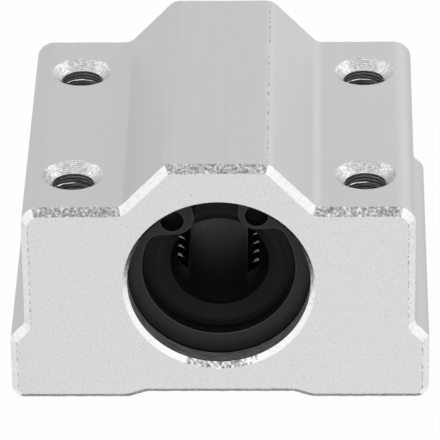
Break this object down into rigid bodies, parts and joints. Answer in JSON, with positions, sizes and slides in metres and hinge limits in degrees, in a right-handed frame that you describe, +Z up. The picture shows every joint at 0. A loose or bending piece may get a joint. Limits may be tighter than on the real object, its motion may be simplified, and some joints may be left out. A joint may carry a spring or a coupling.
{
  "type": "linear bearing block",
  "caption": "Block-mounted linear ball bearing: an extruded aluminium pillow block holds a sealed recirculating ball bearing for a round shaft between two internal retaining rings.",
  "frame": {"origin": "on the underside of the feet, midway along and across the block", "axes": "+Y along the shaft, +X across the block, +Z up through the shoulders"},
  "size_m": [0.0344, 0.03, 0.022],
  "materials": {
    "housing_aluminium": "extruded and milled aluminium, satin silver",
    "phosphated_spring_steel": "black phosphated spring steel",
    "bearing_steel": "ground bearing steel",
    "retainer_resin": "black moulded resin",
    "seal_rubber": "black nitrile rubber",
    "end_ring_steel": "plain pressed steel",
    "ball_steel": "polished bearing steel"
  },
  "bodies": {
    "root": {"housing": "housing_aluminium", "front_retaining_ring": "phosphated_spring_steel", "rear_retaining_ring": "phosphated_spring_steel", "bearing_sleeve": "bearing_steel", "ball_retainer": "retainer_resin", "front_end_seal": "seal_rubber", "rear_end_seal": "seal_rubber", "front_end_ring": "end_ring_steel", "rear_end_ring": "end_ring_steel", "upper_right_loaded_balls": "ball_steel", "upper_right_return_balls": "ball_steel", "upper_right_turn_balls": "ball_steel", "upper_left_loaded_balls": "ball_steel", "upper_left_return_balls": "ball_steel", "upper_left_turn_balls": "ball_steel", "lower_left_loaded_balls": "ball_steel", "lower_left_return_balls": "ball_steel", "lower_left_turn_balls": "ball_steel", "lower_right_loaded_balls": "ball_steel", "lower_right_return_balls": "ball_steel", "lower_right_turn_balls": "ball_steel"}
  },
  "joints": []
}
